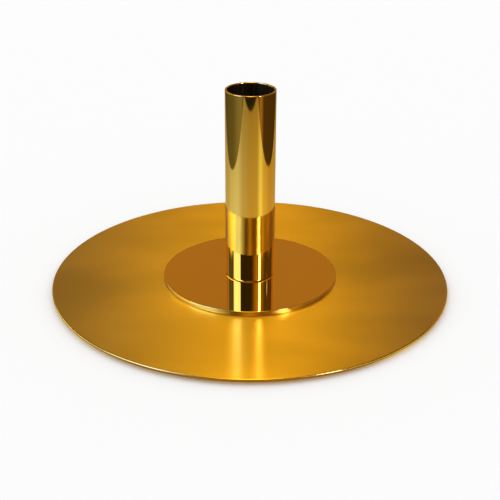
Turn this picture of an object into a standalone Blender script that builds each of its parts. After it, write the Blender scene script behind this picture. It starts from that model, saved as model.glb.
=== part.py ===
"""A low holder for one dinner candle, in brass.

A polished socket tube stands on a polished collar disc, which lies on a wide brushed base plate.
One countersunk screw from below goes through the plate and the disc into a plug in the tube's
foot and clamps them together. The candle stands on a stop inside the tube, and the plate rests
on four felt pads.

Metres, +Z up. The origin is on the tube's axis, on the surface that the pads stand on.
"""

import math

import bmesh
import bpy

# Driving dimensions
CONTACT_GAP = 0.0003

PLATE_DIAMETER = 0.203
PLATE_THICKNESS = 0.0015
PLATE_EDGE_RADIUS = 0.0005

COLLAR_DIAMETER = 0.089
COLLAR_THICKNESS = 0.0022
COLLAR_TOP_EDGE_RADIUS = 0.0004
COLLAR_UNDER_CHAMFER = 0.0002

TUBE_DIAMETER = 0.025
TUBE_WALL = 0.001
TUBE_RIM_RADIUS = 0.0003
TUBE_FOOT_CHAMFER = 0.0004
RIM_ABOVE_PLATE_UNDERSIDE = 0.1015

PLUG_HEIGHT = 0.014
PLUG_CHAMFER = 0.0008
SPIGOT_RADIUS = 0.005
TAPPED_HOLE_DEPTH = 0.012
TAPPED_HOLE_MOUTH_CHAMFER = 0.0008
DRILL_POINT_ANGLE = math.radians(118)

CANDLE_SEAT_DEPTH = 0.028
STOP_HEIGHT = 0.008
STOP_SHEET = 0.0008
STOP_CORNER_RADIUS = 0.0008

SCREW_DIAMETER = 0.005
SCREW_LENGTH = 0.012
SCREW_TIP_CHAMFER = 0.0006
SCREW_HEAD_DIAMETER = 0.0092
SCREW_HEAD_LAND = 0.0002
SCREW_HEAD_RECESS = 0.0001
SCREW_SOCKET_ACROSS_FLATS = 0.003
SCREW_SOCKET_DEPTH = 0.0018

PAD_COUNT = 4
PAD_DIAMETER = 0.020
PAD_THICKNESS = 0.0012
PAD_CIRCLE_DIAMETER = 0.160
PAD_EDGE_BEVEL = 0.00015

# Fineness of the round shapes
WIDE_STEPS = 96
NARROW_STEPS = 48
PAD_STEPS = 32
EDGE_STEPS = 2
MERGE_DISTANCE = 0.000001
SHARP_ANGLE = math.radians(35)

# Levels above the surface that it stands on
PLATE_UNDERSIDE_Z = PAD_THICKNESS + CONTACT_GAP
PLATE_TOP_Z = PLATE_UNDERSIDE_Z + PLATE_THICKNESS
COLLAR_UNDERSIDE_Z = PLATE_TOP_Z + CONTACT_GAP
COLLAR_TOP_Z = COLLAR_UNDERSIDE_Z + COLLAR_THICKNESS
TUBE_FOOT_Z = COLLAR_TOP_Z + CONTACT_GAP
TUBE_RIM_Z = PLATE_UNDERSIDE_Z + RIM_ABOVE_PLATE_UNDERSIDE
CANDLE_SEAT_Z = TUBE_RIM_Z - CANDLE_SEAT_DEPTH
SCREW_HEAD_Z = PLATE_UNDERSIDE_Z + SCREW_HEAD_RECESS

# Radii that follow from the ones above
BORE_RADIUS = TUBE_DIAMETER / 2 - TUBE_WALL
IN_BORE_RADIUS = BORE_RADIUS - CONTACT_GAP
TAPPED_HOLE_RADIUS = SCREW_DIAMETER / 2 + CONTACT_GAP
COUNTERSINK_RADIUS = SCREW_HEAD_DIAMETER / 2 + CONTACT_GAP
SPIGOT_HOLE_RADIUS = SPIGOT_RADIUS + CONTACT_GAP
SPIGOT_LENGTH = COLLAR_THICKNESS

BRASS = (0.80, 0.50, 0.13, 1.0)
TURNED_BRASS = (0.72, 0.48, 0.17, 1.0)
ZINC_PLATE = (0.62, 0.62, 0.60, 1.0)
FELT = (0.012, 0.012, 0.012, 1.0)


def clear_scene():
    for obj in list(bpy.data.objects):
        bpy.data.objects.remove(obj, do_unlink=True)


def new_collection(name):
    collection = bpy.data.collections.new(name)
    bpy.context.scene.collection.children.link(collection)
    return collection


def new_material(name, colour, metallic, roughness):
    material = bpy.data.materials.new(name)
    material.use_nodes = True
    shader = material.node_tree.nodes["Principled BSDF"]
    shader.inputs["Base Color"].default_value = colour
    shader.inputs["Metallic"].default_value = metallic
    shader.inputs["Roughness"].default_value = roughness
    material.diffuse_color = colour
    return material


def new_object(name, mesh, collection, material=None):
    obj = bpy.data.objects.new(name, mesh)
    collection.objects.link(obj)
    if material:
        mesh.materials.append(material)
    return obj


def arc(centre_r, centre_z, radius, start_degrees, end_degrees):
    """Points of a rounded edge in a turned profile, from one angle to the other."""
    points = []
    for step in range(EDGE_STEPS + 1):
        share = step / EDGE_STEPS
        angle = math.radians(start_degrees + (end_degrees - start_degrees) * share)
        points.append((centre_r + radius * math.cos(angle), centre_z + radius * math.sin(angle)))
    return points


def turned(name, profile, steps, collection, material):
    """A turned piece. The profile is (radius, height) points, down the outer side.

    It closes on itself where the piece has a hole right through, and otherwise starts and ends
    on the axis.
    """
    mesh = bpy.data.meshes.new(name)
    edges = [(i, i + 1) for i in range(len(profile) - 1)]
    if profile[0][0] > 0:
        edges.append((len(profile) - 1, 0))
    mesh.from_pydata([(r, 0, z) for r, z in profile], edges, [])
    obj = new_object(name, mesh, collection, material)
    screw = obj.modifiers.new("Turn", "SCREW")
    screw.axis = "Z"
    screw.angle = math.tau
    screw.steps = steps
    screw.render_steps = steps
    screw.use_merge_vertices = True
    screw.merge_threshold = MERGE_DISTANCE
    return obj


def apply_and_smooth(obj):
    """Makes the modifiers' result the object's own mesh, smooth except at its sharp edges."""
    graph = bpy.context.evaluated_depsgraph_get()
    old = obj.data
    mesh = bpy.data.meshes.new_from_object(obj.evaluated_get(graph))
    mesh.name = obj.name
    obj.modifiers.clear()
    obj.data = mesh
    bpy.data.meshes.remove(old)
    mesh.shade_smooth()
    mesh.set_sharp_from_angle(angle=SHARP_ANGLE)


def base_plate(collection):
    """Wide plate with both edges rounded and a countersunk hole from below."""
    rim = PLATE_DIAMETER / 2 - PLATE_EDGE_RADIUS
    throat = COUNTERSINK_RADIUS - (PLATE_THICKNESS - SCREW_HEAD_LAND)
    profile = arc(rim, PLATE_THICKNESS - PLATE_EDGE_RADIUS, PLATE_EDGE_RADIUS, 90, 0)
    profile += arc(rim, PLATE_EDGE_RADIUS, PLATE_EDGE_RADIUS, 0, -90)
    profile += [
        (COUNTERSINK_RADIUS, 0),
        (COUNTERSINK_RADIUS, SCREW_HEAD_LAND),
        (throat, PLATE_THICKNESS),
    ]
    material = new_material("base_plate_brushed_brass", BRASS, 1.0, 0.28)
    plate = turned("base_plate", profile, WIDE_STEPS, collection, material)
    plate.location.z = PLATE_UNDERSIDE_Z
    return plate


def collar_disc(collection):
    """Polished disc with a fine rounded top edge and a hole for the plug's spigot."""
    radius = COLLAR_DIAMETER / 2
    profile = arc(
        radius - COLLAR_TOP_EDGE_RADIUS,
        COLLAR_THICKNESS - COLLAR_TOP_EDGE_RADIUS,
        COLLAR_TOP_EDGE_RADIUS,
        90,
        0,
    )
    profile += [
        (radius, COLLAR_UNDER_CHAMFER),
        (radius - COLLAR_UNDER_CHAMFER, 0),
        (SPIGOT_HOLE_RADIUS, 0),
        (SPIGOT_HOLE_RADIUS, COLLAR_THICKNESS),
    ]
    material = new_material("collar_disc_polished_brass", BRASS, 1.0, 0.06)
    disc = turned("collar_disc", profile, WIDE_STEPS, collection, material)
    disc.location.z = COLLAR_UNDERSIDE_Z
    return disc


def socket_tube(collection):
    """Thin-walled tube, open at both ends, with a rounded rim and a chamfered foot."""
    outer = TUBE_DIAMETER / 2
    height = TUBE_RIM_Z - TUBE_FOOT_Z
    shoulder = height - TUBE_RIM_RADIUS
    profile = arc(outer - TUBE_RIM_RADIUS, shoulder, TUBE_RIM_RADIUS, 90, 0)
    profile += [
        (outer, TUBE_FOOT_CHAMFER),
        (outer - TUBE_FOOT_CHAMFER, 0),
        (BORE_RADIUS, 0),
    ]
    profile += arc(BORE_RADIUS + TUBE_RIM_RADIUS, shoulder, TUBE_RIM_RADIUS, 180, 90)
    material = new_material("socket_tube_polished_brass", BRASS, 1.0, 0.05)
    tube = turned("socket_tube", profile, WIDE_STEPS, collection, material)
    tube.location.z = TUBE_FOOT_Z
    return tube


def foot_plug(collection):
    """Plug in the tube's foot: a body that fills the bore, a spigot, and a blind tapped hole."""
    mouth = TAPPED_HOLE_RADIUS + TAPPED_HOLE_MOUTH_CHAMFER
    hole_top = TAPPED_HOLE_DEPTH - SPIGOT_LENGTH
    point_length = TAPPED_HOLE_RADIUS / math.tan(DRILL_POINT_ANGLE / 2)
    profile = [
        (0, PLUG_HEIGHT),
        (IN_BORE_RADIUS - PLUG_CHAMFER, PLUG_HEIGHT),
        (IN_BORE_RADIUS, PLUG_HEIGHT - PLUG_CHAMFER),
        (IN_BORE_RADIUS, 0),
        (SPIGOT_RADIUS, 0),
        (SPIGOT_RADIUS, -SPIGOT_LENGTH),
        (mouth, -SPIGOT_LENGTH),
        (TAPPED_HOLE_RADIUS, TAPPED_HOLE_MOUTH_CHAMFER - SPIGOT_LENGTH),
        (TAPPED_HOLE_RADIUS, hole_top),
        (0, hole_top + point_length),
    ]
    material = new_material("foot_plug_turned_brass", TURNED_BRASS, 1.0, 0.32)
    plug = turned("foot_plug", profile, NARROW_STEPS, collection, material)
    plug.location.z = TUBE_FOOT_Z
    return plug


def candle_stop(collection):
    """Pressed cup, mouth down, that the candle stands on."""
    corner = STOP_CORNER_RADIUS
    profile = [(0, STOP_HEIGHT)]
    profile += arc(IN_BORE_RADIUS - corner, STOP_HEIGHT - corner, corner, 90, 0)
    profile += [
        (IN_BORE_RADIUS, 0),
        (IN_BORE_RADIUS - STOP_SHEET, 0),
        (IN_BORE_RADIUS - STOP_SHEET, STOP_HEIGHT - STOP_SHEET),
        (0, STOP_HEIGHT - STOP_SHEET),
    ]
    material = new_material("candle_stop_pressed_brass", TURNED_BRASS, 1.0, 0.25)
    stop = turned("candle_stop", profile, NARROW_STEPS, collection, material)
    stop.location.z = CANDLE_SEAT_Z - STOP_HEIGHT
    return stop


def hex_socket_cutter(collection):
    """Hexagonal prism that runs out of the screw's head at its underside."""
    corner_radius = SCREW_SOCKET_ACROSS_FLATS / math.sqrt(3)
    length = 2 * SCREW_SOCKET_DEPTH
    mesh = bpy.data.meshes.new("hex_socket_cutter")
    body = bmesh.new()
    bmesh.ops.create_cone(
        body, cap_ends=True, segments=6, radius1=corner_radius, radius2=corner_radius, depth=length
    )
    body.to_mesh(mesh)
    body.free()
    cutter = new_object("hex_socket_cutter", mesh, collection)
    cutter.location.z = SCREW_HEAD_Z
    cutter.hide_render = True
    cutter.display_type = "WIRE"
    return cutter


def clamp_screw(collection, cutters):
    """M5 countersunk socket screw with its head down. The thread is left out."""
    shank = SCREW_DIAMETER / 2
    head = SCREW_HEAD_DIAMETER / 2
    profile = [
        (0, SCREW_LENGTH),
        (shank - SCREW_TIP_CHAMFER, SCREW_LENGTH),
        (shank, SCREW_LENGTH - SCREW_TIP_CHAMFER),
        (shank, SCREW_HEAD_LAND + head - shank),
        (head, SCREW_HEAD_LAND),
        (head, 0),
        (0, 0),
    ]
    material = new_material("clamp_screw_zinc_plate", ZINC_PLATE, 1.0, 0.3)
    screw = turned("clamp_screw", profile, NARROW_STEPS, collection, material)
    screw.location.z = SCREW_HEAD_Z
    socket = screw.modifiers.new("Hex socket", "BOOLEAN")
    socket.operation = "DIFFERENCE"
    socket.solver = "EXACT"
    socket.object = hex_socket_cutter(cutters)
    return screw


def felt_pad(number, collection):
    """One of the round pads, spaced evenly on a circle under the plate."""
    name = f"felt_pad_{number}"
    mesh = bpy.data.meshes.new(name)
    body = bmesh.new()
    bmesh.ops.create_cone(
        body,
        cap_ends=True,
        segments=PAD_STEPS,
        radius1=PAD_DIAMETER / 2,
        radius2=PAD_DIAMETER / 2,
        depth=PAD_THICKNESS,
    )
    body.to_mesh(mesh)
    body.free()
    pad = new_object(name, mesh, collection, new_material(f"{name}_felt", FELT, 0.0, 0.95))
    bevel = pad.modifiers.new("Cut edge", "BEVEL")
    bevel.width = PAD_EDGE_BEVEL
    bevel.segments = 1
    bevel.limit_method = "ANGLE"
    bevel.angle_limit = SHARP_ANGLE
    direction = math.tau * (number - 0.5) / PAD_COUNT
    pad.location.x = PAD_CIRCLE_DIAMETER / 2 * math.cos(direction)
    pad.location.y = PAD_CIRCLE_DIAMETER / 2 * math.sin(direction)
    pad.location.z = PAD_THICKNESS / 2
    return pad


def build():
    clear_scene()
    parts = new_collection("candle_holder")
    cutters = new_collection("candle_holder_cutters")
    centre = bpy.data.objects.new("candle_holder_axis", None)
    parts.objects.link(centre)
    pieces = [
        base_plate(parts),
        collar_disc(parts),
        socket_tube(parts),
        foot_plug(parts),
        candle_stop(parts),
        clamp_screw(parts, cutters),
    ]
    pieces += [felt_pad(number, parts) for number in range(1, PAD_COUNT + 1)]
    bpy.context.view_layer.update()
    for piece in pieces:
        apply_and_smooth(piece)
        piece.parent = centre


build()
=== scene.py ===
import math

import bmesh
import bpy
from mathutils import Matrix, Vector

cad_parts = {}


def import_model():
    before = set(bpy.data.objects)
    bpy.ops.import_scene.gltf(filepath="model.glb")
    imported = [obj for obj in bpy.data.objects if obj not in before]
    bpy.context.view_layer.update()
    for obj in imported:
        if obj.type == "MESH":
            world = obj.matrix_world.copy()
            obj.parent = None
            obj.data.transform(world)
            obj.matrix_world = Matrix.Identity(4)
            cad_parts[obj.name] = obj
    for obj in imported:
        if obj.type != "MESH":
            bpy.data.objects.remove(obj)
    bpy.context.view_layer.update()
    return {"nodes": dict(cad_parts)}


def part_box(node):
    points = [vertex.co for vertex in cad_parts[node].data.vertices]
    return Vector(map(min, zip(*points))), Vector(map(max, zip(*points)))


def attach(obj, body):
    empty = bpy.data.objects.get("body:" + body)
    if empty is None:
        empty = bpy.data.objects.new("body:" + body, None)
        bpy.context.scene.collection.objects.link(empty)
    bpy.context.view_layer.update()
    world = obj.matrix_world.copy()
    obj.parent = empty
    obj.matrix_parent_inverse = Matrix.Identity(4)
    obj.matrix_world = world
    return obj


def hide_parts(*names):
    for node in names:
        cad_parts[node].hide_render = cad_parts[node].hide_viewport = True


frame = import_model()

# Sizes taken from the CAD nodes, in metres
PLATE_LOW, PLATE_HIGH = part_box("base_plate")
COLLAR_LOW, COLLAR_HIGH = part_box("collar_disc")
TUBE_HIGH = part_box("socket_tube")[1]
STOP_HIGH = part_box("candle_stop")[1]
SCREW_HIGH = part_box("clamp_screw")[1]
PLUG_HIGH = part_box("foot_plug")[1]
PLATE_RADIUS = PLATE_HIGH.x
COLLAR_RADIUS = COLLAR_HIGH.x
TUBE_RADIUS = TUBE_HIGH.x
FIT_GAP = COLLAR_LOW.z - PLATE_HIGH.z
BORE_RADIUS = STOP_HIGH.x + FIT_GAP

SEAM = 0.00005            # what is left of the CAD's gaps where two pieces touch
INSET = 0.0001            # a narrow strip at an arc or corner keeps its shading off the next face
ROUND_STEPS = 256
SHARP_ANGLE = math.radians(35)

# Brass, as linear colours
BRASS = (0.96, 0.63, 0.14)
# the bore's brass: oxide, and painted shade of the deep bore
BORE_OXIDE_AND_SHADE = (0.09, 0.052, 0.018)
# darker brass of the plate's side and lower edge: painted shade
SHADED_CUT_BRASS = (0.50, 0.25, 0.06)

# The room round the holder: AIM is the point that the cards face
AIM = Vector((0, 0, 0.03))
CARD_DISTANCE = 1.4
BOARD_LEFT, BOARD_RIGHT = -0.183, 0.190
BOARD_FRONT, BOARD_BACK = -0.320, 0.50
BOARD_LEVEL = -0.0005
TABLE_REACH = 0.75
TABLE_LEVEL = -0.001
FLOOR_REACH = 40.0


# ---------------------------------------------------------------- meshes

def linked_object(name, body):
    """Turns a finished bmesh into an object of the scene."""
    mesh = bpy.data.meshes.new(name)
    body.to_mesh(mesh)
    body.free()
    obj = bpy.data.objects.new(name, mesh)
    bpy.context.scene.collection.objects.link(obj)
    return obj


def rectangle(name, low_corner, high_corner, level=0.0):
    """A level rectangle with one face that looks up."""
    (x0, y0), (x1, y1) = low_corner, high_corner
    body = bmesh.new()
    corners = ((x0, y0), (x1, y0), (x1, y1), (x0, y1))
    body.faces.new([body.verts.new((x, y, level)) for x, y in corners])
    return linked_object(name, body)


def arc(centre_r, centre_z, radius, start_degrees, end_degrees, steps=6):
    """Points of a rounded edge in a turned profile."""
    points = []
    for i in range(steps + 1):
        angle = math.radians(start_degrees + (end_degrees - start_degrees) * i / steps)
        points.append((centre_r + radius * math.cos(angle), centre_z + radius * math.sin(angle)))
    return points


def planar_uv(co, turn):
    """Lays the UV map flat along X and Y."""
    return (co.x, co.y)


def wrapped_uv(co, turn):
    """Wraps the UV map round the axis: turn is the share of a full turn."""
    return (turn, co.z)


def lathe(name, profile, uv_of, second_slot=(), third_slot=()):
    """A closed ring turned from a closed profile of (radius, height), outer side downwards.

    The slots hold the profile's stretches, by number, that take the piece's other materials.
    """
    slots = {stretch: 1 for stretch in second_slot} | {stretch: 2 for stretch in third_slot}
    body = bmesh.new()
    rings = []
    for r, z in profile:
        ring = []
        for i in range(ROUND_STEPS):
            angle = math.tau * i / ROUND_STEPS
            ring.append(body.verts.new((r * math.cos(angle), r * math.sin(angle), z)))
        rings.append(ring)
    layer = body.loops.layers.uv.new("UVMap")
    for stretch, ring in enumerate(rings):
        below = rings[(stretch + 1) % len(rings)]
        for i in range(ROUND_STEPS):
            j = (i + 1) % ROUND_STEPS
            face = body.faces.new((ring[i], below[i], below[j], ring[j]))
            face.smooth = True
            face.material_index = slots.get(stretch, 0)
            turns = (i, i, i + 1, i + 1)
            for loop, turn in zip(face.loops, turns):
                loop[layer].uv = uv_of(loop.vert.co, turn / ROUND_STEPS)
    bmesh.ops.recalc_face_normals(body, faces=body.faces)
    obj = linked_object(name, body)
    obj.data.set_sharp_from_angle(angle=SHARP_ANGLE)
    return obj


def plate_piece():
    """The base plate: thin, with both edges eased, and its countersunk hole."""
    edge = 0.0005
    rim = PLATE_RADIUS - edge
    top, low = PLATE_HIGH.z, PLATE_LOW.z
    mouth = SCREW_HIGH.x + FIT_GAP
    throat = mouth - (top - low)
    profile = [(rim - INSET, top)]
    profile += arc(rim, top - edge, edge, 90, 0)
    eased = range(1, len(profile) - 1)
    profile += arc(rim, low + edge, edge, 0, -90)
    side = range(eased.stop, len(profile) - 1)
    profile += [(rim - INSET, low), (mouth, low), (throat, top)]
    return lathe("base_plate_brushed", profile, planar_uv, second_slot=eased, third_slot=side)


def collar_piece():
    """The collar disc: polished, with a fine rounded top edge and a rounded lower one."""
    edge, under = 0.0003, 0.0004
    top, low = COLLAR_HIGH.z, PLATE_HIGH.z + SEAM
    rim = COLLAR_RADIUS - edge
    hole = PLUG_HIGH.x / 2          # under the tube, out of sight
    profile = [(rim - INSET, top)]
    profile += arc(rim, top - edge, edge, 90, 0)
    side = (len(profile) - 1,)
    profile += arc(COLLAR_RADIUS - under, low + under, under, 0, -90, 3)
    profile += [(hole, low), (hole, top)]
    return lathe("collar_disc_polished", profile, planar_uv, second_slot=side)


def tube_piece():
    """The socket tube: a rounded rim, a foot that is eased in, and a dull bore, dark with oxide and
    painted shade.
    """
    lip = 0.00035
    ease, ease_degrees = 0.0026, 20
    foot_height = ease * math.sin(math.radians(ease_degrees))
    foot_depth = ease * (1 - math.cos(math.radians(ease_degrees)))
    top, low = TUBE_HIGH.z, COLLAR_HIGH.z + SEAM
    profile = arc(TUBE_RADIUS - lip, top - lip, lip, 90, 0)
    profile += [(TUBE_RADIUS, top - lip - INSET), (TUBE_RADIUS, low + foot_height + INSET)]
    profile += arc(TUBE_RADIUS - ease, low + foot_height, ease, 0, -ease_degrees)
    profile += [(TUBE_RADIUS - foot_depth - INSET, low)]
    profile += [(BORE_RADIUS + INSET, low), (BORE_RADIUS, low), (BORE_RADIUS, low + INSET)]
    bore = len(profile) - 1
    profile += [(BORE_RADIUS, top - lip - INSET)]
    profile += arc(BORE_RADIUS + lip, top - lip, lip, 180, 90)
    return lathe("socket_tube_polished", profile, wrapped_uv, second_slot=(bore,))


# ---------------------------------------------------------------- node trees

def opaque(colour):
    """A colour with the alpha that Blender's colour sockets ask for."""
    return (*colour, 1.0)


def scaled(colour, factor):
    return tuple(min(1.0, c * factor) for c in colour)


def node_material(name):
    material = bpy.data.materials.new(name)
    material.use_nodes = True
    return material


class Nodes:
    """A short way to write a node tree."""

    def __init__(self, tree):
        self.tree = tree

    def add(self, kind, values=None, **settings):
        """A new node. values go to its inputs, by name or number, and settings to the node."""
        node = self.tree.nodes.new(kind)
        for key, value in settings.items():
            setattr(node, key, value)
        for key, value in (values or {}).items():
            self.put(node.inputs[key], value)
        return node

    def put(self, socket, value):
        """Links an input to another node's output, or sets it to a plain value."""
        if isinstance(value, bpy.types.NodeSocket):
            self.tree.links.new(value, socket)
        else:
            socket.default_value = value

    def place(self, kind="Object"):
        return self.add("ShaderNodeTexCoord").outputs[kind]

    def ramp(self, value, low, high, to_low, to_high, curve="SMOOTHSTEP"):
        node = self.add(
            "ShaderNodeMapRange",
            {0: value, 1: low, 2: high, 3: to_low, 4: to_high},
            interpolation_type=curve,
        )
        return node.outputs[0]

    def times(self, first, second):
        node = self.add("ShaderNodeMath", {0: first, 1: second}, operation="MULTIPLY")
        return node.outputs[0]

    def colour_ramp(self, value, stops, curve="LINEAR"):
        """Colours along a value. stops are (position, colour)."""
        node = self.add("ShaderNodeValToRGB", {0: value})
        node.color_ramp.interpolation = curve
        elements = node.color_ramp.elements
        while len(elements) < len(stops):
            elements.new(0.5)
        for element, (position, colour) in zip(elements, stops):
            element.position = position
        for element, (position, colour) in zip(elements, stops):
            element.color = opaque(colour)
        return node.outputs[0]


class Surface(Nodes):
    """The nodes of a piece's material, round its Principled shader."""

    def __init__(self, name):
        self.material = node_material(name)
        super().__init__(self.material.node_tree)
        self.shader = self.tree.nodes["Principled BSDF"]

    def stretched_noise(self, scale, detail=2.0, roughness=0.5):
        """Noise whose cells have their own size along each axis: scale is cells per metre."""
        mapping = self.add("ShaderNodeMapping", {"Vector": self.place(), "Scale": scale})
        noise = self.add(
            "ShaderNodeTexNoise",
            {
                "Vector": mapping.outputs[0],
                "Scale": 1.0,
                "Detail": detail,
                "Roughness": roughness,
            },
        )
        return noise.outputs["Fac"]

    def blend(self, factor, first, second):
        node = self.add("ShaderNodeMix", data_type="RGBA")
        self.put(node.inputs[0], factor)
        self.put(node.inputs[6], opaque(first))
        self.put(node.inputs[7], opaque(second))
        return node.outputs[2]

    def product(self, first, second):
        node = self.add("ShaderNodeMix", data_type="RGBA", blend_type="MULTIPLY")
        self.put(node.inputs[0], 1.0)
        self.put(node.inputs[6], first)
        self.put(node.inputs[7], second)
        return node.outputs[2]

    def tangent(self):
        """The direction of the UV map, which the anisotropic gloss follows."""
        node = self.add("ShaderNodeTangent", direction_type="UV_MAP", uv_map="UVMap")
        return node.outputs[0]

    def bump(self, height, strength, distance):
        node = self.add(
            "ShaderNodeBump", {"Height": height, "Strength": strength, "Distance": distance}
        )
        self.put(self.shader.inputs["Normal"], node.outputs[0])

    def finish(self, **inputs):
        for key, value in inputs.items():
            self.put(self.shader.inputs[key.replace("_", " ")], value)
        return self.material


class Glow(Nodes):
    """The nodes of a material that only glows."""

    def __init__(self, name):
        self.material = node_material(name)
        super().__init__(self.material.node_tree)
        self.tree.nodes.clear()

    def finish(self, colour, strength, clear=False):
        """A clear glow is added to whatever lies behind it."""
        surface = self.add("ShaderNodeEmission", {"Color": colour, "Strength": strength})
        if clear:
            through = self.add("ShaderNodeBsdfTransparent")
            shaders = {0: surface.outputs[0], 1: through.outputs[0]}
            surface = self.add("ShaderNodeAddShader", shaders)
        self.add("ShaderNodeOutputMaterial", {"Surface": surface.outputs[0]})
        return self.material


# ---------------------------------------------------------------- finishes

def brushed_brass():
    """Satin brass with straight brush lines along X and soft cloudy wear."""
    nodes = Surface("brushed_brass_plate")
    lines = nodes.stretched_noise((16, 900, 1), 1.0)
    cloud = nodes.stretched_noise((9, 17, 1), 2.0)
    brushed = nodes.blend(lines, (0.955, 0.955, 0.955), (1.0, 1.0, 1.0))
    patches = nodes.ramp(cloud, 0.35, 0.65, 0.0, 1.0)
    worn = nodes.blend(patches, scaled(BRASS, 0.80), BRASS)
    return nodes.finish(
        Base_Color=nodes.product(brushed, worn),
        Metallic=1.0,
        Roughness=nodes.ramp(lines, 0.2, 0.8, 0.275, 0.295),
        Anisotropic=1.0,
        Anisotropic_Rotation=0.25,
        Tangent=nodes.tangent(),
    )


def eased_edge_brass():
    """The plate's eased top edge and the disc's side, smoothed by rubbing."""
    nodes = Surface("eased_edge_brass")
    rub = nodes.stretched_noise((60, 60, 400), 2.0)
    return nodes.finish(
        Base_Color=nodes.blend(rub, scaled(BRASS, 0.9), BRASS),
        Metallic=1.0,
        Roughness=nodes.ramp(rub, 0.3, 0.7, 0.12, 0.18),
    )


def shaded_cut_edge_brass():
    """The plate's cut side and lower edge, painted darker than its faces as shade on the side and
    under the edge.
    """
    nodes = Surface("shaded_cut_edge_brass")
    saw = nodes.stretched_noise((300, 300, 2500), 3.0)
    return nodes.finish(
        Base_Color=nodes.blend(saw, scaled(SHADED_CUT_BRASS, 0.8), SHADED_CUT_BRASS),
        Metallic=1.0,
        Roughness=nodes.ramp(saw, 0.3, 0.7, 0.22, 0.34),
    )


def polished_disc_brass():
    """Mirror-polished brass with the faint haze that a buff leaves."""
    nodes = Surface("polished_brass_disc")
    haze = nodes.stretched_noise((60, 60, 1), 3.0)
    return nodes.finish(
        Base_Color=nodes.blend(haze, scaled(BRASS, 0.98), BRASS),
        Metallic=1.0,
        Roughness=nodes.ramp(haze, 0.3, 0.75, 0.02, 0.045),
    )


def polished_tube_brass():
    """Mirror-polished brass with hair-fine scratches that run round the tube."""
    nodes = Surface("polished_brass_tube")
    scratches = nodes.stretched_noise((60, 60, 30000), 2.0)
    haze = nodes.stretched_noise((70, 70, 50), 3.0)
    return nodes.finish(
        Base_Color=nodes.blend(haze, scaled(BRASS, 0.98), BRASS),
        Metallic=1.0,
        Roughness=nodes.ramp(nodes.times(scratches, haze), 0.15, 0.45, 0.02, 0.06),
        Anisotropic=0.5,
        Anisotropic_Rotation=0.25,
        Tangent=nodes.tangent(),
    )


def bore_oxide_and_painted_shade():
    """The unpolished inside of the tube, darkened by oxide and by painted shade of the deep bore."""
    nodes = Surface("bore_oxide_and_painted_shade")
    drawn = nodes.stretched_noise((900, 900, 12), 3.0)
    return nodes.finish(
        Base_Color=nodes.blend(drawn, scaled(BORE_OXIDE_AND_SHADE, 0.6), BORE_OXIDE_AND_SHADE),
        Metallic=1.0,
        Roughness=nodes.ramp(drawn, 0.3, 0.7, 0.35, 0.5),
    )


def turned_brass():
    """Unpolished turned brass with the tool's fine rings."""
    nodes = Surface("turned_brass_rings")
    rings = nodes.add(
        "ShaderNodeTexWave",
        {"Vector": nodes.place(), "Scale": 900.0, "Distortion": 0.6, "Detail": 2.0},
        wave_type="RINGS",
        rings_direction="Z",
    )
    nodes.bump(rings.outputs["Fac"], strength=0.15, distance=0.00002)
    patina = nodes.stretched_noise((120, 120, 120), 3.0)
    return nodes.finish(
        Base_Color=nodes.blend(patina, scaled(BRASS, 0.45), scaled(BRASS, 0.7)),
        Metallic=1.0,
        Roughness=nodes.ramp(patina, 0.3, 0.7, 0.28, 0.42),
    )


def zinc_plate():
    """Bright zinc plate, a little mottled."""
    nodes = Surface("zinc_plate")
    mottle = nodes.stretched_noise((700, 700, 700), 3.0)
    return nodes.finish(
        Base_Color=nodes.blend(mottle, (0.50, 0.51, 0.52), (0.66, 0.66, 0.64)),
        Metallic=1.0,
        Roughness=nodes.ramp(mottle, 0.3, 0.7, 0.25, 0.4),
    )


def felt():
    """Black wool felt."""
    nodes = Surface("black_felt")
    fibre = nodes.stretched_noise((2600, 2600, 2600), 4.0, 0.7)
    nodes.bump(fibre, strength=0.8, distance=0.0002)
    return nodes.finish(
        Base_Color=nodes.blend(fibre, (0.010, 0.010, 0.011), (0.035, 0.034, 0.033)),
        Roughness=nodes.ramp(fibre, 0.2, 0.8, 0.9, 1.0),
        Sheen_Weight=0.4,
        Sheen_Roughness=0.5,
    )


# ---------------------------------------------------------------- camera

def add_camera():
    """In front of the holder on the -Y side, looking down 25 degrees, with a trace of roll."""
    distance, height = 0.4879, 0.2448
    pitch, roll = math.radians(24.96), math.radians(0.24)
    lens = 75.26
    forward = Vector((0, math.cos(pitch), -math.sin(pitch)))
    right = Vector((1, 0, 0))
    up = right.cross(forward)
    tilted_right = right * math.cos(roll) + up * math.sin(roll)
    tilted_up = up * math.cos(roll) - right * math.sin(roll)
    data = bpy.data.cameras.new("camera")
    data.lens = lens
    camera = bpy.data.objects.new("camera", data)
    turn = Matrix((tilted_right, tilted_up, -forward)).transposed().to_4x4()
    camera.matrix_world = Matrix.Translation((0, -distance, height)) @ turn
    bpy.context.scene.collection.objects.link(camera)
    bpy.context.scene.camera = camera


# ---------------------------------------------------------------- studio

def reflected_only(obj):
    """Makes an object of the room show in the brass and nowhere else."""
    obj.visible_camera = False
    obj.visible_diffuse = False
    obj.visible_shadow = False


def card_material(name, colour, feather):
    """Light that fades out over a share of a card at each end: feather is across, upwards."""
    nodes = Glow(name)
    spot = nodes.add("ShaderNodeSeparateXYZ", {0: nodes.place("Generated")})
    strength = 1.0
    for across, share in zip(spot.outputs, feather):
        strength = nodes.times(strength, nodes.ramp(across, 0.0, share, 0.0, 1.0))
        strength = nodes.times(strength, nodes.ramp(across, 1.0 - share, 1.0, 1.0, 0.0))
    return nodes.finish(opaque(colour), strength, clear=True)


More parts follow.
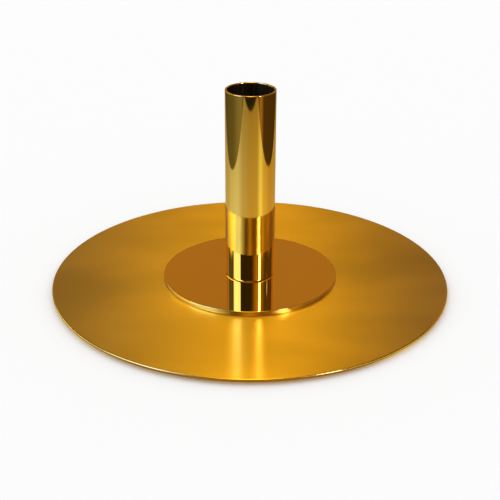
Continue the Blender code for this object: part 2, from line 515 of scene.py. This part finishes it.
def card(name, azimuth, elevation, wide, tall, colour, feather):
    """A soft light panel that faces the object. Panels add up where they overlap.

    azimuth is 0 on the camera's side (-Y) and positive to its right; wide and tall are the
    angles that the panel fills, in degrees.
    """
    a, e = math.radians(azimuth), math.radians(elevation)
    direction = Vector((math.sin(a) * math.cos(e), -math.cos(a) * math.cos(e), math.sin(e)))
    side = Vector((math.cos(a), math.sin(a), 0))
    width = 2 * CARD_DISTANCE * math.tan(math.radians(wide / 2))
    height = 2 * CARD_DISTANCE * math.tan(math.radians(tall / 2))
    facing = Matrix((side, direction.cross(side), direction)).transposed().to_4x4()
    size = Matrix.Diagonal((width, height, 1, 1))
    obj = rectangle(name, (-0.5, -0.5), (0.5, 0.5))
    obj.matrix_world = Matrix.Translation(AIM + direction * CARD_DISTANCE) @ facing @ size
    obj.data.materials.append(card_material(name, colour, feather))
    reflected_only(obj)


def room_cards():
    """The room: walls, a window in two panes, a bright strip, a lamp and a light overhead."""
    wall = (0.385, 0.183, 0.030)
    window = (1.15, 2.10, 6.5)
    card("back_wall", 180, 24, 56, 28, wall, (0.10, 0.40))
    for name, azimuth in (("left_wall", -140.8), ("right_wall", 140.8)):
        card(name, azimuth, 24, 33.6, 28, wall, (0.167, 0.40))
    for name, azimuth, wide in (("window_rear_pane", -73.5, 19), ("window_front_pane", -55, 20)):
        card(name, azimuth, 37, wide, 54, window, (0.10, 0.14))
    card("strip", 46.5, 34, 9, 23, (14.0, 15.0, 29.0), (0.25, 0.07))
    card("lamp", 89, 26.1, 5, 1.6, (0.9, 1.4, 4.0), (0.4, 0.4))
    card("overhead", 180, 83, 28, 56, (5.0, 3.35, 0.09), (0.5, 0.35))


def fill_cards():
    """Fill lights, which set the colours of the plate and the disc and light the low views."""
    card("front_high", -6, 63, 40, 30, (0.3, 0.4, 0.15), (0.5, 0.35))
    card("overhead_wide", 180, 80, 90, 70, (0.17, 0.09, 0.012), (0.5, 0.5))
    card("cool_rear_left", -152, 64, 24, 30, (0.45, 0.55, 0.50), (0.5, 0.5))
    card("cool_rear_right", 157, 46, 20, 24, (0.22, 0.26, 0.40), (0.5, 0.5))
    card("window_top", -76, 50, 50, 26, (0.90, 0.80, 0.50), (0.3, 0.25))
    card("window_edge", -122, 25, 5, 26, (0.4, 0.6, 1.5), (0.3, 0.2))
    card("strip_glow", 41, 30, 62, 24, (0.50, 0.30, 0.02), (0.5, 0.3))
    card("dim_left", -100, 27, 40, 20, (0.075, 0.095, 0.15), (0.25, 0.3))
    card("dim_right", 92, 27, 70, 20, (0.06, 0.035, 0.02), (0.25, 0.3))
    low, low_tall = 18.3, 11.4
    card("low_left", -98, low, 72, low_tall, (2.40, 2.45, 0.80), (0.15, 0.12))
    card("low_right", 100, low, 90, low_tall, (0.44, 0.27, 0.05), (0.2, 0.12))
    card("low_warm", 58, low, 28, low_tall, (1.7, 1.4, 0.10), (0.5, 0.12))
    level_feather = (0.3, 0.3)
    card("side_left", -90, 2, 90, 20, (0.48, 0.34, 0.12), level_feather)
    card("side_right", 90, 2, 90, 20, (0.30, 0.20, 0.07), level_feather)
    card("low_front", 0, 2, 110, 20, (0.22, 0.14, 0.05), level_feather)
    card("low_back", 180, 4, 110, 24, (0.26, 0.15, 0.04), level_feather)


def round_the_holder(name, stops, far_share):
    """A glow that changes with the direction from the holder's axis.

    stops are (azimuth, colour), from -90 to 270 degrees. Further out than the plate the glow
    falls off, to far_share of it at the board's front edge and beyond.
    """
    nodes = Glow(name)
    place = nodes.place()
    turn = nodes.add("ShaderNodeTexGradient", {0: place}, gradient_type="RADIAL")
    tones = [((azimuth + 90) / 360, colour) for azimuth, colour in stops]
    colour = nodes.colour_ramp(turn.outputs["Fac"], tones, "EASE")
    reach = nodes.add("ShaderNodeVectorMath", {0: place}, operation="LENGTH")
    fall = nodes.ramp(
        reach.outputs["Value"], PLATE_RADIUS, -BOARD_FRONT, 1.0, far_share, "LINEAR"
    )
    return nodes.finish(colour, fall)


def pale_board():
    """The pale board that the holder stands on, as the brass shows it. Its glow paints the light of
    the window (about -60) and the strip (46) falling on the board.
    """
    glow = round_the_holder(
        "pale_board",
        (
            (-90, (0.68, 0.72, 0.60)),
            (-60, (0.74, 0.78, 0.80)),
            (-28, (0.56, 0.49, 0.32)),
            (0, (0.55, 0.42, 0.15)),
            (28, (0.58, 0.44, 0.16)),
            (46, (1.00, 0.96, 0.42)),
            (64, (0.74, 0.55, 0.17)),
            (100, (0.58, 0.40, 0.12)),
            (180, (0.55, 0.40, 0.14)),
            (240, (0.55, 0.50, 0.28)),
            (270, (0.68, 0.72, 0.60)),
        ),
        far_share=0.62,
    )
    board = rectangle("board", (BOARD_LEFT, BOARD_FRONT), (BOARD_RIGHT, BOARD_BACK), BOARD_LEVEL)
    board.data.materials.append(glow)
    reflected_only(board)


def dark_table():
    """The dark table round the board, as the brass shows it. Its glow paints the sheen of the window
    (-42) and the strip (46) on the table.
    """
    glow = round_the_holder(
        "dark_table",
        (
            (-90, (0.13, 0.12, 0.06)),
            (-42, (0.26, 0.24, 0.15)),
            (-26, (0.02, 0.02, 0.01)),
            (28, (0.02, 0.02, 0.01)),
            (46, (0.38, 0.20, 0.06)),
            (62, (0.08, 0.045, 0.015)),
            (180, (0.06, 0.04, 0.015)),
            (270, (0.13, 0.12, 0.06)),
        ),
        far_share=0.9,
    )
    reach = TABLE_REACH
    table = rectangle("dark_table", (-reach, -reach), (reach, reach), TABLE_LEVEL)
    table.data.materials.append(glow)
    reflected_only(table)


def floor():
    """The plain pale floor that the camera sees and the brass doesn't."""
    reach = FLOOR_REACH
    obj = rectangle("floor", (-reach, -reach), (reach, reach))
    paint = Surface("pale_floor").finish(
        Base_Color=opaque((0.98, 0.98, 0.98)), Roughness=1.0, Specular_IOR_Level=0.0
    )
    obj.data.materials.append(paint)
    obj.visible_glossy = False


def world():
    """Soft white light for the floor, and a dim warm room with a lighter ceiling in the brass."""
    room = bpy.data.worlds.new("room")
    bpy.context.scene.world = room
    room.use_nodes = True
    nodes = Nodes(room.node_tree)
    nodes.tree.nodes.clear()
    height = nodes.add("ShaderNodeSeparateXYZ", {0: nodes.place("Generated")}).outputs["Z"]
    walls, ceiling = (0.55, (0.030, 0.026, 0.020)), (0.95, (0.17, 0.10, 0.03))
    inside = nodes.add("ShaderNodeBackground", {"Color": nodes.colour_ramp(height, (walls, ceiling))})
    white = nodes.add("ShaderNodeBackground", {"Color": opaque((1, 1, 1))})
    glossy = nodes.add("ShaderNodeLightPath").outputs["Is Glossy Ray"]
    mix = nodes.add("ShaderNodeMixShader", {0: glossy, 1: white.outputs[0], 2: inside.outputs[0]})
    nodes.add("ShaderNodeOutputWorld", {"Surface": mix.outputs[0]})


def studio():
    floor()
    world()
    room_cards()
    fill_cards()
    pale_board()
    dark_table()
    bpy.context.scene.view_settings.view_transform = "Standard"


# ---------------------------------------------------------------- assembly

def dress(node, material):
    """Gives a CAD node that keeps its own shape its finish."""
    obj = frame["nodes"][node]
    obj.data.materials.clear()
    obj.data.materials.append(material)
    obj.data.shade_smooth()
    obj.data.set_sharp_from_angle(angle=SHARP_ANGLE)


def show(piece, node, slot, *materials):
    """Puts a finished piece in the place of its CAD node."""
    for material in materials:
        piece.data.materials.append(material)
    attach(piece, "root")
    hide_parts(node)


def holder():
    """The whole object: three fine pieces for what shows, and the dressed CAD nodes."""
    rubbed = eased_edge_brass()
    plate_brasses = brushed_brass(), rubbed, shaded_cut_edge_brass()
    show(plate_piece(), "base_plate", "brushed_brass", *plate_brasses)
    show(collar_piece(), "collar_disc", "polished_brass", polished_disc_brass(), rubbed)
    show(tube_piece(), "socket_tube", "polished_brass", polished_tube_brass(), bore_oxide_and_painted_shade())
    turned = turned_brass()
    dress("foot_plug", turned)
    dress("candle_stop", turned)
    dress("clamp_screw", zinc_plate())
    pad_felt = felt()
    for name in sorted(frame["nodes"]):
        if name.startswith("felt_pad"):
            dress(name, pad_felt)


holder()
add_camera()
studio()
